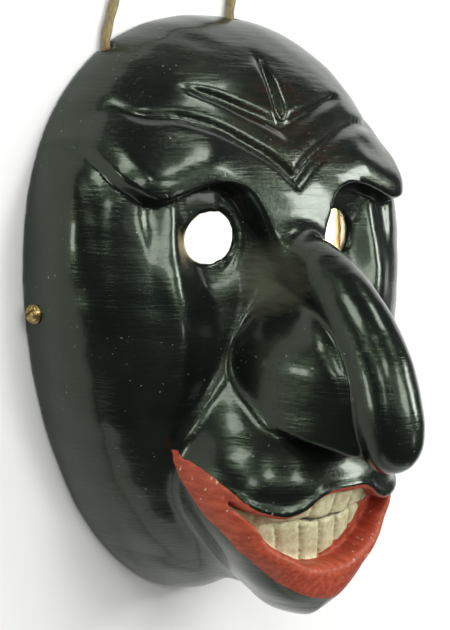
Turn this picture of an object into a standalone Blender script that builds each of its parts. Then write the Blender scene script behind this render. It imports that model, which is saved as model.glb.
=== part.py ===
"""A carved wooden face mask with a hooked nose, lying on the back of its rim.

Metres. +Z is the way the face looks, +Y runs up the face to the crown, and +X is to the
wearer's left. The origin is on the surface that the rim lies on, under the middle of the mask.
The block is carved in numbers: each form of the face is a field of distances to its surface,
below nought inside the wood. The fields are joined and cut, and the result is turned into a mesh.
"""

import math

import bpy
import bmesh
import numpy as np
import openvdb
from mathutils import Matrix, Vector

# Sizes of the mask
MASK_HEIGHT = 0.237
WALL = 0.009
THIN_WALL = 0.0065
EYE_HOLE_WIDTH = 0.0196
EYE_HOLE_HEIGHT = 0.0184

# Sizes of the two brass screws, one in each side of the rim
SCREW_HEIGHT = 0.0065
SCREW_UP_FACE = 0.0032
SCREW_HEAD_WIDTH = 0.0079
SCREW_HEAD_RISE = 0.0033
SCREW_SEAT_DEPTH = 0.0005
SCREW_SHANK_WIDTH = 0.0041
SCREW_LENGTH = 0.0165
SCREW_POINT = 0.0050
SCREW_BRIM = 0.0003
SCREW_SLOT_WIDTH = 0.0010
SCREW_SLOT_DEPTH = 0.0014
SCREW_SLOT_TURN = math.radians(40)
SCREW_SIDES = 28

# The hanging cord, and its route: from one screw, under the rim, round above the crown and back
CORD_WIDTH = 0.0040
CORD_POINT_EVERY = 0.0095
NOTCH_CLEARANCE = 0.0007
CORD_ROUTE = (
    (-0.0780, 0.0092, 0.0060),
    (-0.0792, 0.0145, 0.0040),
    (-0.0798, 0.0225, 0.00225),
    (-0.0788, 0.0380, 0.0022),
    (-0.0735, 0.0560, 0.0022),
    (-0.0640, 0.0700, 0.0022),
    (-0.0565, 0.0800, 0.0022),
    (-0.0545, 0.0890, 0.0022),
    (-0.0565, 0.0975, 0.0022),
    (-0.0578, 0.1050, 0.0022),
    (-0.0558, 0.1140, 0.0022),
    (-0.0525, 0.1260, 0.0022),
    (-0.0500, 0.1400, 0.0022),
    (-0.0450, 0.1560, 0.0022),
    (-0.0330, 0.1680, 0.0022),
    (-0.0160, 0.1710, 0.0022),
    (-0.0010, 0.1620, 0.0022),
    (0.0060, 0.1460, 0.0022),
    (0.0080, 0.1300, 0.0022),
    (0.0074, 0.1180, 0.0022),
    (0.0110, 0.1040, 0.0022),
    (0.0240, 0.0950, 0.0022),
    (0.0430, 0.0880, 0.0022),
    (0.0590, 0.0750, 0.0022),
    (0.0710, 0.0590, 0.0022),
    (0.0776, 0.0410, 0.0022),
    (0.0797, 0.0245, 0.00225),
    (0.0792, 0.0145, 0.0040),
    (0.0780, 0.0092, 0.0060),
)

# The space left between pieces that touch, the grid that the wood is carved on, and its facets
GAP = 0.0003
CARVING_STEP = 0.0022
CARVING_FACETS = 9000
SPARE_BELOW_RIM = 3 * CARVING_STEP
SHARP_FROM = math.radians(40)

# The face is laid out in parts of its height, as it is stepped out along the block.
# Every figure below this line counts those parts, from the middle line of the face.
PARTS_HIGH = 237.0
PART = MASK_HEIGHT / PARTS_HIGH

# The outline: two rounded arches that meet on the widest line
HALF_WIDTH = 92.5
WIDEST_AT = 26.0
CROWN_AT = 118.5
FOOT_AT = -118.5
CROWN_ROUNDNESS = 2.3
JAW_ROUNDNESS = 1.84

# The plain face: its height down the middle line, how it falls away to the sides, its shoulder
FACE_LINE = (
    (-123, 16), (-101, 28), (-81, 37), (-41, 49), (9, 55),
    (42, 54), (75, 43.5), (100, 29), (111, 19.5), (121, 10),
)
FACE_FALL = (
    (-121, 0.0014), (-61, 0.0016), (-10, 0.0017), (22, 0.00165), (42, 0.0014), (52, 0.0014),
    (64, 0.0018), (89, 0.0026), (119, 0.0020),
)
SHOULDER = 26.0
LEAST_SHOULDER = 6.0
SHOULDER_SHARE = 0.9

# The brow: its lower edge, from the middle out, the swelling above it and the step under it
BROW_LINE = (
    (0, 27), (14, 31), (17, 38), (23, 48), (31, 53), (38, 54), (45, 53), (52, 51),
    (64, 47.5), (69, 48), (74, 51), (79, 56), (83, 67),
)
BROW_EDGE = (-2.5, 1.5)
BROW_EDGE_SOFTER, BROW_EDGE_SOFT_TO = 1.6, (14, 36)
BROW_ROLL, BROW_ROLL_ABOVE, BROW_ROLL_WIDTH = 3.0, 9.0, 8.0
BROW_ROLL_FROM, BROW_ROLL_TO = (24, 46), (70, 84)
BROW_DROP, BROW_DROP_FROM, BROW_DROP_LONG = 6.5, 43.0, 30.0
BROW_DROP_INNER, BROW_DROP_OUTER = (54, 68), (84, 96)

# Two furrows over the brow, each a V across the forehead, and one down its middle
LOWER_FURROW = ((0, 56), (10, 63), (20, 68), (32, 73.5), (48, 77.5), (68, 79), (73, 82))
LOWER_FURROW_DEPTH, LOWER_FURROW_WIDTH, LOWER_FURROW_END = 2.4, 2.3, (62, 74)
UPPER_FURROW = ((0, 74.5), (10, 78.5), (20, 82), (30, 85.5), (45, 89))
UPPER_FURROW_DEPTH, UPPER_FURROW_WIDTH, UPPER_FURROW_END = 2.6, 3.4, (34, 47)
UPPER_FURROW_TAPER = 0.045
LONG_FURROW_DEPTH, LONG_FURROW_WIDTH = 2.8, 2.3
LONG_FURROW_FOOT, LONG_FURROW_HEAD = (75, 82), (93, 106)

# The valley between cheek and nose, and the eye socket with its hole
CHEEK_CREST = (
    (-46, 50), (-21, 47), (-6, 47), (9, 51), (20, 56), (31, 61), (45, 65), (55, 66),
)
CHEEK_DEPTH = (
    (-46, 0.5), (-33, 3.0), (-16, 5.5), (4, 7.0), (19, 9.0), (32, 10.0), (44, 9.5), (59, 8.0),
)
CHEEK_SLOPE = (-10, 17)
NOSE_BRIDGE = (2, 24)
EYE_ACROSS, EYE_UP, EYE_OUT = 37.0, 33.0, 42.0
EYE_TURN = math.radians(15)
EYE_FLARE, EYE_FLARE_FROM, EYE_FLARE_LONG = 0.95, 2.0, 12.0
EYE_BOWL, EYE_BOWL_WIDTH = 4.5, 12.5
EYE_RINGS = ((16.5, 0.8, 1.6), (12.3, 0.9, 1.5))
EYE_RINGS_INNER, EYE_RINGS_LOWER = (2, 8), (17, 25)

# The raised mouth and chin: half width up the face, height of its front, and how it leans
MUZZLE_SIDE = (
    (-109, 0), (-99, 13), (-90, 22), (-77, 34), (-64, 44.5), (-51, 50),
    (-39, 48.5), (-23, 42), (-6, 32), (11, 24), (29, 14),
)
MUZZLE_FRONT = (
    (-121, 62), (-113, 73), (-105, 79), (-93, 83), (-61, 86), (-56, 86),
    (-46, 82), (-31, 70), (-13, 58), (9, 54), (29, 50),
)
MUZZLE_FALL = 0.005
MUZZLE_ROUND = 22.0
CHIN_LEAN, CHIN_LEAN_FROM = 0.42, 34.0

# The mouth: the edges of both lips, the bead over the upper one, and two rows of teeth
LIP_EDGE = (
    (0, -60), (8, -60), (14, -61.5), (20, -65), (28, -67.5), (36, -66.5),
    (42, -64), (47, -58), (51, -50),
)
LIP_INNER = (
    (0, -89.5), (8, -88.9), (14, -87.4), (22.5, -83.3), (27, -80.7), (32.4, -76.4),
    (38, -70.4), (46.4, -61.8),
)
MOUTH_END = 45.5
LIP_ROUND = 2.0
LOWER_LIP_SOFTER, LOWER_LIP_FROM = 4.0, (68, 80)
LIP_BEAD, LIP_BEAD_ABOVE, LIP_BEAD_WIDTH = 1.3, 2.0, 2.2
LIP_BEAD_END, LIP_BEAD_LOWEST = (40, 50), (60, 66)
TEETH_OUT, TEETH_AT, TEETH_CURVE, TEETH_LEAN = 78.5, -70.0, 0.0090, 0.34
TEETH_PARTING, PARTING_TILT, PARTING_RAGGED, PARTING_WAVES = -71.2, 0.05, 0.7, (3.1, 7.3)
PARTING_DEPTH, PARTING_WIDTH, PARTING_STEP = 2.6, 1.0, 1.2
UPPER_TOOTH, UPPER_TOOTH_FROM = 10.5, -1.2
LOWER_TOOTH, LOWER_TOOTH_FROM = 9.6, -6.0
TOOTH_LINE_DEPTH, TOOTH_LINE_WIDTH = 1.3, 0.9
TEETH_END = (30, 42)

# The nose: balls along its ridge, each across, up, out and radius
NOSE = (
    (0, 22, 62, 12.5), (0, 11, 77.5, 13), (0, -1, 89, 13.3),
    (0, -14, 97, 13.6), (0, -27, 102, 13.5), (0, -37, 105.5, 12),
)
NOSE_HIGH = 122.0

# The wing beside the nose: its front up the face, its half width, which tapers outwards, its foot
WING_CREST = (
    (-50, 101), (-39, 101.5), (-27, 100), (-16, 97), (-6, 91.5), (4, 83.5), (12, 74.5), (19, 63), (25, 48),
)
WING_WIDTH, WING_BASE = 29.0, 54.0
WING_TAPER, WING_TAPER_LONG, WING_TAPER_POWER = 15.0, 45.0, 2.2
WING_TOP, WING_TOP_NARROWS = -16.0, 0.020
WING_FOOT, WING_FOOT_LEAN = -32.0, 0.255
WING_SIDE_ROUND, WING_FOOT_ROUND = 6.0, 3.0

# How far the join between two forms is rounded
NOSE_BLEND, NOSE_TO_WING, NOSE_TO_FACE = 2.0, 1.2, 3.0
BRIDGE_BLEND_MORE, BRIDGE_BLEND_OVER = 8.0, (2, 20)
MUZZLE_TO_HEAD, MOUTH_EDGE, EYE_EDGE = 5.0, 1.6, 1.5
HOLLOW_BLEND, HOLLOW_EDGE, MUZZLE_WALL_MORE = 10.0, 6.0, 2.0


def smooth_max(a, b, reach):
    """The greater of two fields, with the edge between them rounded over reach."""
    share = np.clip(reach - np.abs(a - b), 0, None) / reach
    return np.maximum(a, b) + share * share * reach / 4


def smooth_min(a, b, reach):
    return -smooth_max(-a, -b, reach)


def ease(value, span):
    """From 0 at the span's start to 1 at its end, level at both."""
    share = np.clip((value - span[0]) / (span[1] - span[0]), 0, 1)
    return share * share * (3 - 2 * share)


def ridge(value, width):
    """A rounded ridge of height 1, about twice as wide as width."""
    return np.exp(-((value / width) ** 2))


def along(points):
    """The smooth curve through a few points, as a function that also gives its slope."""
    places, values = np.array(points, float).T
    steps = np.diff(places)
    rises = np.diff(values) / steps
    between = (rises[:-1] * steps[1:] + rises[1:] * steps[:-1]) / (steps[:-1] + steps[1:])
    leans = np.concatenate([rises[:1], between, rises[-1:]])

    def curve(at):
        at = np.clip(at, places[0], places[-1])
        first = np.clip(np.searchsorted(places, at, side="right") - 1, 0, len(steps) - 1)
        share = (at - places[first]) / steps[first]
        start, end = values[first], values[first + 1]
        leave, arrive = leans[first] * steps[first], leans[first + 1] * steps[first]
        bend = 2 * start - 2 * end + leave + arrive
        turn = 3 * end - 3 * start - 2 * leave - arrive
        value = ((bend * share + turn) * share + leave) * share + start
        slope = ((3 * bend * share + 2 * turn) * share + leave) / steps[first]
        return value, slope

    return curve


face_line = along(FACE_LINE)
face_fall = along(FACE_FALL)
brow_line = along(BROW_LINE)
lower_furrow = along(LOWER_FURROW)
upper_furrow = along(UPPER_FURROW)
cheek_crest = along(CHEEK_CREST)
cheek_depth = along(CHEEK_DEPTH)
muzzle_side = along(MUZZLE_SIDE)
muzzle_front = along(MUZZLE_FRONT)
lip_edge = along(LIP_EDGE)
lip_inner = along(LIP_INNER)
wing_crest = along(WING_CREST)


def outline(x, y):
    """Distance to the mask's outline: one rounded arch above the widest line, one below."""
    above = y > WIDEST_AT
    reach = np.where(above, CROWN_AT - WIDEST_AT, WIDEST_AT - FOOT_AT)
    power = np.where(above, CROWN_ROUNDNESS, JAW_ROUNDNESS)
    u, v = x / HALF_WIDTH, np.abs(y - WIDEST_AT) / reach
    ring = (u**power + v**power) ** (1 / power) + 1e-6
    steep = np.sqrt((u ** (power - 1) / HALF_WIDTH) ** 2 + (v ** (power - 1) / reach) ** 2)
    return (ring - 1) / (steep * ring ** (1 - power))


def side_of_rim(y):
    """How far from the middle line the outline is, at a place up the face."""
    above = y > WIDEST_AT
    reach = CROWN_AT - WIDEST_AT if above else WIDEST_AT - FOOT_AT
    power = CROWN_ROUNDNESS if above else JAW_ROUNDNESS
    return HALF_WIDTH * (1 - (abs(y - WIDEST_AT) / reach) ** power) ** (1 / power)


def face_height(x, y):
    """Height of the plain face before it is carved, and how much its slope stretches distance."""
    line, slope = face_line(y)
    fall, _ = face_fall(y)
    return line - fall * x * x, np.sqrt(1 + (2 * fall * x) ** 2 + slope**2)


def shoulder(height):
    """How far the edge between the face and its side wall is rounded."""
    return np.clip(height * SHOULDER_SHARE, LEAST_SHOULDER, SHOULDER)


def across(curve, x, y):
    """Distance in the face's plane to a line drawn over it, above nought where y is past the line."""
    line, slope = curve(x)
    return (y - line) / np.sqrt(1 + slope**2)


def furrows(x, y):
    """Depth of the two V furrows over the brow and of the long furrow down the forehead."""
    lower = LOWER_FURROW_DEPTH * ridge(across(lower_furrow, x, y), LOWER_FURROW_WIDTH)
    upper_width = UPPER_FURROW_WIDTH - x * UPPER_FURROW_TAPER
    upper = UPPER_FURROW_DEPTH * ridge(across(upper_furrow, x, y), upper_width)
    long = LONG_FURROW_DEPTH * ridge(x, LONG_FURROW_WIDTH)
    lower = lower * (1 - ease(x, LOWER_FURROW_END))
    upper = upper * (1 - ease(x, UPPER_FURROW_END))
    long = long * ease(y, LONG_FURROW_FOOT) * (1 - ease(y, LONG_FURROW_HEAD))
    return lower + upper + long


def sockets(x, y):
    """Depth of the eye sockets and of the valleys beside the nose, under the brow's edge."""
    soft = 1 + BROW_EDGE_SOFTER * (1 - ease(x, BROW_EDGE_SOFT_TO))
    under = 1 - ease((y - brow_line(x)[0]) / soft, BROW_EDGE)
    drop = BROW_DROP * ridge(np.clip(BROW_DROP_FROM - y, 0, None), BROW_DROP_LONG)
    drop = drop * ease(x, BROW_DROP_INNER) * (1 - ease(x, BROW_DROP_OUTER))
    valley = cheek_depth(y)[0] * ease(cheek_crest(y)[0] - x, CHEEK_SLOPE) * ease(x, NOSE_BRIDGE)
    from_eye = np.hypot(x - EYE_ACROSS, y - EYE_UP)
    bowl = EYE_BOWL * ridge(from_eye, EYE_BOWL_WIDTH)
    rings = sum(depth * ridge(from_eye - radius, width) for radius, depth, width in EYE_RINGS)
    rings = rings * ease(EYE_ACROSS - x, EYE_RINGS_INNER) * ease(y, EYE_RINGS_LOWER)
    return under * (drop + valley + bowl + rings)


def brow_roll(x, y):
    """Height of the swelling along the brow."""
    from_middle = y - brow_line(x)[0] - BROW_ROLL_ABOVE
    roll = BROW_ROLL * ridge(from_middle, BROW_ROLL_WIDTH)
    return roll * ease(x, BROW_ROLL_FROM) * (1 - ease(x, BROW_ROLL_TO))


def head(x, y, z):
    """The head with its brow, furrows and sockets."""
    height, lean = face_height(x, y)
    height_here = height + brow_roll(x, y) - furrows(x, y) - sockets(x, y)
    return smooth_max(outline(x, y), (z - height_here) / lean, shoulder(height))


def muzzle(x, y, z):
    """The raised mouth and chin. Its lower wall leans out, so that the chin juts past the jaw."""
    level = y + CHIN_LEAN * np.clip(z - CHIN_LEAN_FROM, 0, None)
    side, slant = muzzle_side(level)
    wall = (x - side) / np.sqrt(1 + slant**2) + np.clip(MUZZLE_SIDE[0][0] - level, 0, None)
    top, tilt = muzzle_front(y)
    fall = MUZZLE_FALL * x
    front = (z - top + fall * x) / np.sqrt(1 + 4 * fall**2 + tilt**2)
    block = smooth_max(wall, front, MUZZLE_ROUND)
    return np.maximum(block, np.maximum(y - MUZZLE_SIDE[-1][0], FOOT_AT - y))


def above_parting(x, y):
    """How far up from the crack between the two rows of teeth. The crack wanders a little."""
    short, long = PARTING_WAVES
    wander = PARTING_RAGGED * np.sin(x / short) * np.sin(x / long)
    return y - TEETH_PARTING - PARTING_TILT * x + wander


def teeth(x, y):
    """Height of the two rows of teeth, parted by a crack. x is below nought to the wearer's right."""
    deep = TEETH_OUT - TEETH_CURVE * x * x + TEETH_LEAN * (y - TEETH_AT)
    from_parting = above_parting(x, y)
    upper = from_parting > 0
    width = np.where(upper, UPPER_TOOTH, LOWER_TOOTH)
    count = (x - np.where(upper, UPPER_TOOTH_FROM, LOWER_TOOTH_FROM)) / width
    line = TOOTH_LINE_DEPTH * ridge((count - np.round(count)) * width, TOOTH_LINE_WIDTH)
    crack = PARTING_DEPTH * ridge(from_parting, PARTING_WIDTH)
    step = PARTING_STEP * ease(from_parting, (-1.5, 1.5))
    return deep + (step - crack - line) * (1 - ease(np.abs(x), TEETH_END))


def mouth_opening(x, y):
    """Distance in the face's plane to the edge of the opening between the lips."""
    opening = smooth_max(across(lip_edge, x, y), -across(lip_inner, x, y), LIP_ROUND)
    return smooth_max(opening, x - MOUTH_END, LIP_ROUND)


def mouth(x, y, z):
    """The opening between the lips, down to the teeth."""
    flattened = np.sqrt(1 + TEETH_LEAN**2)
    return smooth_max(mouth_opening(np.abs(x), y), (teeth(x, y) - z) / flattened, MOUTH_EDGE)


def lip_bead(x, y, z):
    """Height of the rolled edge over the upper lip."""
    bead = LIP_BEAD * ridge(y - lip_edge(x)[0] - LIP_BEAD_ABOVE, LIP_BEAD_WIDTH)
    return bead * (1 - ease(x, LIP_BEAD_END)) * ease(z, LIP_BEAD_LOWEST)


def strung(balls, x, y, z, blend, parts=3):
    """A smooth round body along a few balls: a close chain of cones on the curves through them."""
    order = np.arange(len(balls))
    finer = np.linspace(0, len(balls) - 1, parts * (len(balls) - 1) + 1)
    *centres, sizes = (along(list(zip(order, column)))(finer)[0] for column in zip(*balls))
    centres = np.stack(centres, axis=-1)
    place = np.stack([x, y, z], axis=-1)
    body = None
    for start, end, first, last in zip(centres, centres[1:], sizes, sizes[1:]):
        run = end - start
        share = np.clip((place - start) @ run / (run @ run), 0, 1)
        gap = np.linalg.norm(place - start - share[..., None] * run, axis=-1)
        piece = gap - first - (last - first) * share
        body = piece if body is None else smooth_min(body, piece, blend)
    return body


def wing(x, y, z):
    """The broad wing beside the nose, which ends at a crest in front and at an edge below."""
    from_base = np.clip(z - WING_BASE, 0, None) / WING_TAPER_LONG
    from_top = np.clip(y - WING_TOP, 0, None)
    width = WING_WIDTH - WING_TAPER * from_base**WING_TAPER_POWER - WING_TOP_NARROWS * from_top**2
    lean_out = WING_TAPER * WING_TAPER_POWER * from_base ** (WING_TAPER_POWER - 1) / WING_TAPER_LONG
    side = (x - width) / np.sqrt(1 + lean_out**2 + (2 * WING_TOP_NARROWS * from_top) ** 2)
    crest, slope = wing_crest(y)
    front = (z - crest) / np.sqrt(1 + slope**2)
    foot = (WING_FOOT - WING_FOOT_LEAN * (z - WING_BASE) - y) / math.hypot(1, WING_FOOT_LEAN)
    return smooth_max(smooth_max(side, front, WING_SIDE_ROUND), foot, WING_FOOT_ROUND)


def nose(x, y, z):
    return smooth_min(strung(NOSE, x, y, z, NOSE_BLEND), wing(x, y, z), NOSE_TO_WING)


def eye_hole(x, y, z):
    """The hole to see through, turned a little outwards and flared towards the back."""
    from_side = (x - EYE_ACROSS) * math.cos(EYE_TURN) - (z - EYE_OUT) * math.sin(EYE_TURN)
    depth = (EYE_ACROSS - x) * math.sin(EYE_TURN) + (EYE_OUT - z) * math.cos(EYE_TURN)
    flare = EYE_FLARE * np.clip(depth - EYE_FLARE_FROM, 0, EYE_FLARE_LONG)
    from_middle = np.hypot(from_side, (y - EYE_UP) * EYE_HOLE_WIDTH / EYE_HOLE_HEIGHT)
    return (from_middle - EYE_HOLE_WIDTH / 2 / PART - flare) / math.hypot(1, EYE_FLARE)


def hollow(x, y, z, outside):
    """The hollow behind the face, a wall's thickness inside the plain head and muzzle."""
    height, _ = face_height(x, y)
    wall = WALL / PART
    room = smooth_max(outline(x, y), z - height, shoulder(height)) + wall
    room = smooth_min(room, muzzle(x, y, z) + wall + MUZZLE_WALL_MORE, HOLLOW_BLEND)
    return smooth_max(room, outside + THIN_WALL / PART, HOLLOW_EDGE)


def carved(x, y, z):
    """The whole mask, as a field in parts of the face. x is below nought to the wearer's right."""
    side = np.abs(x)
    outside = smooth_min(head(side, y, z), muzzle(side, y, z), MUZZLE_TO_HEAD)
    lip_round = MOUTH_EDGE + LOWER_LIP_SOFTER * ease(-y, LOWER_LIP_FROM)
    outside = smooth_max(outside - lip_bead(side, y, z), -mouth(x, y, z), lip_round)
    nose_blend = NOSE_TO_FACE + BRIDGE_BLEND_MORE * ease(y, BRIDGE_BLEND_OVER)
    outside = smooth_min(outside, nose(side, y, z), nose_blend)
    shell = np.maximum(outside, -hollow(side, y, z, outside))
    return smooth_max(shell, -eye_hole(side, y, z), EYE_EDGE)


def carve(step, below):
    """Points and quads of the carved surface, from a grid of the given step. It runs on below the rim."""
    grid = step / PART
    margin = 4 * grid
    half_count = math.ceil((HALF_WIDTH + margin) / grid)
    side = (np.arange(-half_count, half_count) + 0.5) * grid
    up = np.arange(FOOT_AT - margin, CROWN_AT + margin, grid)
    out = np.arange(-below / PART, NOSE_HIGH, grid)
    y, z = np.meshgrid(up, out, indexing="ij")
    closed_below = out[0] + 2 * grid - z
    field = np.empty((len(side), len(up), len(out)), np.float32)
    for row, x in enumerate(side):
        wood = carved(np.full(y.shape, x), y, np.maximum(z, 0))
        field[row] = np.maximum(wood, closed_below) / grid
    volume = openvdb.FloatGrid()
    volume.background = 3.0
    volume.copyFromArray(np.clip(field, -volume.background, volume.background))
    points, quads = volume.convertToQuads(0.0)
    points = points * grid + [side[0], up[0], out[0]]
    return points * PART, quads


def add_object(name, mesh, material):
    thing = bpy.data.objects.new(name, mesh)
    bpy.context.scene.collection.objects.link(thing)
    if material is not None:
        thing.data.materials.append(material)
    return thing


def finish(name, colour, roughness, metallic=0.0, coat=0.0):
    material = bpy.data.materials.new(name)
    material.use_nodes = True
    shader = material.node_tree.nodes["Principled BSDF"]
    shader.inputs["Base Color"].default_value = (*colour, 1)
    shader.inputs["Roughness"].default_value = roughness
    shader.inputs["Metallic"].default_value = metallic
    shader.inputs["Coat Weight"].default_value = coat
    return material


def turned(name, profile, sides, material=None):
    """A solid turned about local Z, from (radius, height) points that start and end on the axis."""
    shape = bmesh.new()
    rows = []
    for radius, height in profile:
        if radius == 0:
            rows.append([shape.verts.new((0, 0, height))])
            continue
        turns = [Matrix.Rotation(2 * math.pi * side / sides, 3, "Z") for side in range(sides)]
        rows.append([shape.verts.new(turn @ Vector((radius, 0, height))) for turn in turns])
    for low, high in zip(rows, rows[1:]):
        for side in range(sides):
            here, after = side, (side + 1) % sides
            corners = [low[here % len(low)], low[after % len(low)]]
            corners += [high[after % len(high)], high[here % len(high)]]
            shape.faces.new(dict.fromkeys(corners))
    bmesh.ops.recalc_face_normals(shape, faces=shape.faces)
    mesh = bpy.data.meshes.new(name)
    shape.to_mesh(mesh)
    shape.free()
    mesh.shade_smooth()
    mesh.set_sharp_from_angle(angle=SHARP_FROM)
    return add_object(name, mesh, material)


def block(name, size):
    mesh = bpy.data.meshes.new(name)
    shape = bmesh.new()
    bmesh.ops.create_cube(shape, size=1, matrix=Matrix.Diagonal((*size, 1)))
    shape.to_mesh(mesh)
    shape.free()
    return add_object(name, mesh, None)


def cut(thing, cutter):
    """Cuts one object's shape out of another."""
    cutter.hide_render = True
    cutter.display_type = "WIRE"
    boolean = thing.modifiers.new(cutter.name, "BOOLEAN")
    boolean.operation = "DIFFERENCE"
    boolean.solver = "EXACT"
    boolean.object = cutter


def smooth_route(points, every, fine_steps=24):
    """Evenly spaced points on the smooth curve through the route's points."""
    points = [Vector(point) for point in points]
    ends = [2 * points[0] - points[1], *points, 2 * points[-1] - points[-2]]
    fine = []
    for before, start, end, after in zip(ends, ends[1:], ends[2:], ends[3:]):
        lean = end - before
        bend = 2 * before - 5 * start + 4 * end - after
        twist = 3 * start - before - 3 * end + after
        shares = [count / fine_steps for count in range(fine_steps)]
        fine += [start + 0.5 * (lean * t + bend * t**2 + twist * t**3) for t in shares]
    fine.append(points[-1])
    steps = [(b - a).length for a, b in zip(fine, fine[1:])]
    lengths = np.concatenate([[0], np.cumsum(steps)])
    places = np.linspace(0, lengths[-1], round(lengths[-1] / every) + 1)
    return np.stack([np.interp(places, lengths, column) for column in zip(*fine)], axis=-1)


def build_mask():
    """The carved wood: the shell, cut flat along the back of its rim."""
    points, quads = carve(CARVING_STEP, SPARE_BELOW_RIM)
    mesh = bpy.data.meshes.new("mask")
    mesh.from_pydata(points.tolist(), [], quads.tolist())
    shape = bmesh.new()
    shape.from_mesh(mesh)
    bmesh.ops.triangulate(shape, faces=shape.faces)
    if shape.calc_volume(signed=True) < 0:
        bmesh.ops.reverse_faces(shape, faces=shape.faces)
    shape.to_mesh(mesh)
    facets = len(shape.faces)
    shape.free()
    mesh.shade_smooth()
    mesh.set_sharp_from_angle(angle=SHARP_FROM)
    lacquer = finish("black lacquered wood", (0.012, 0.015, 0.013), 0.30, coat=0.3)
    mask = add_object("mask", mesh, lacquer)
    thinning = mask.modifiers.new("thinning", "DECIMATE")
    thinning.ratio = min(1, CARVING_FACETS / facets)
    ground = block("ground", (3 * MASK_HEIGHT, 3 * MASK_HEIGHT, 4 * SPARE_BELOW_RIM))
    ground.location = (0, 0, -2 * SPARE_BELOW_RIM)
    cut(mask, ground)
    return mask


def build_screw(name, side, mask):
    """A slotted round-head screw through the side of the rim, with its seat and bore in the wood."""
    seat = side_of_rim(SCREW_UP_FACE / PART) * PART - SCREW_SEAT_DEPTH
    shank, head = SCREW_SHANK_WIDTH / 2, SCREW_HEAD_WIDTH / 2
    ball = (head**2 + SCREW_HEAD_RISE**2) / (2 * SCREW_HEAD_RISE)
    brim = math.asin(head / ball)
    dome = [
        (ball * math.sin(angle), SCREW_HEAD_RISE - ball + ball * math.cos(angle))
        for angle in (brim * (1 - step / 7) for step in range(1, 7))
    ]
    profile = [
        (0, -SCREW_LENGTH), (shank * 0.25, -SCREW_LENGTH + SCREW_POINT * 0.15),
        (shank, -SCREW_LENGTH + SCREW_POINT), (shank, 0), (head - SCREW_BRIM, 0), (head, SCREW_BRIM),
        *dome, (0, SCREW_HEAD_RISE),
    ]
    screw = turned(name, profile, SCREW_SIDES, BRASS)
    place = Matrix.Translation((side * (seat + GAP), SCREW_UP_FACE, SCREW_HEIGHT))
    place = place @ Matrix.Rotation(side * math.pi / 2, 4, "Y")
    screw.matrix_world = place
    slot = block(name + "_slot", (2 * SCREW_HEAD_WIDTH, SCREW_SLOT_WIDTH, 2 * SCREW_SLOT_DEPTH))
    turn = Matrix.Rotation(SCREW_SLOT_TURN, 4, "Z")
    slot.matrix_world = place @ turn @ Matrix.Translation((0, 0, SCREW_HEAD_RISE))
    cut(screw, slot)
    bore_room, head_room = shank + GAP, head + GAP
    bore_profile = [
        (0, -3 * WALL), (bore_room, -3 * WALL), (bore_room, -GAP),
        (head_room, -GAP), (head_room, 2 * WALL), (0, 2 * WALL),
    ]
    bore = turned(name + "_bore", bore_profile, SCREW_SIDES)
    bore.matrix_world = place
    cut(mask, bore)


def round_line(name, route, width):
    """A curve with a round section along the route."""
    curve = bpy.data.curves.new(name, "CURVE")
    curve.dimensions = "3D"
    curve.bevel_depth = width / 2
    curve.bevel_resolution = 2
    curve.use_fill_caps = True
    line = curve.splines.new("POLY")
    line.points.add(len(route) - 1)
    for point, place in zip(line.points, route):
        point.co = (*place, 1)
    return curve


def build_cord(mask):
    """The cord, and the way that it takes through the rim: two notches in the back edge."""
    route = smooth_route(CORD_ROUTE, CORD_POINT_EVERY)
    hide = finish("tan hide", (0.30, 0.23, 0.09), 0.65)
    add_object("cord", round_line("cord", route, CORD_WIDTH), hide)
    guide = add_object("cord_way", round_line("cord_way", route, CORD_WIDTH + 2 * NOTCH_CLEARANCE), None)
    rounded = guide.evaluated_get(bpy.context.evaluated_depsgraph_get())
    shape = bmesh.new()
    shape.from_mesh(bpy.data.meshes.new_from_object(rounded))
    bmesh.ops.remove_doubles(shape, verts=shape.verts, dist=0.000001)
    bmesh.ops.recalc_face_normals(shape, faces=shape.faces)
    mesh = bpy.data.meshes.new("cord_way")
    shape.to_mesh(mesh)
    shape.free()
    bpy.data.objects.remove(guide, do_unlink=True)
    cut(mask, add_object("cord_way", mesh, None))


for old in list(bpy.data.objects):
    bpy.data.objects.remove(old, do_unlink=True)

BRASS = finish("brass", (0.42, 0.33, 0.13), 0.38, metallic=1.0)
the_mask = build_mask()
build_screw("screw_right", -1, the_mask)
build_screw("screw_left", 1, the_mask)
build_cord(the_mask)
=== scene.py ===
"""A carved and lacquered wooden face mask on a pale floor, seen from above and to one side.

Metres. +Z is the way the face looks, +Y runs up the face to the crown, and +X is to the wearer's
left. The wood is carved in numbers, as in the mask's own source: each form of the face is a field
of distances to its surface, below nought inside the wood. Here the grid is finer, and the surface
carries the marks of the knife and the brush, the paint and the wear.
"""

import math

import bpy
import bmesh
import numpy as np
import openvdb
from mathutils import Matrix, Vector


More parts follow.
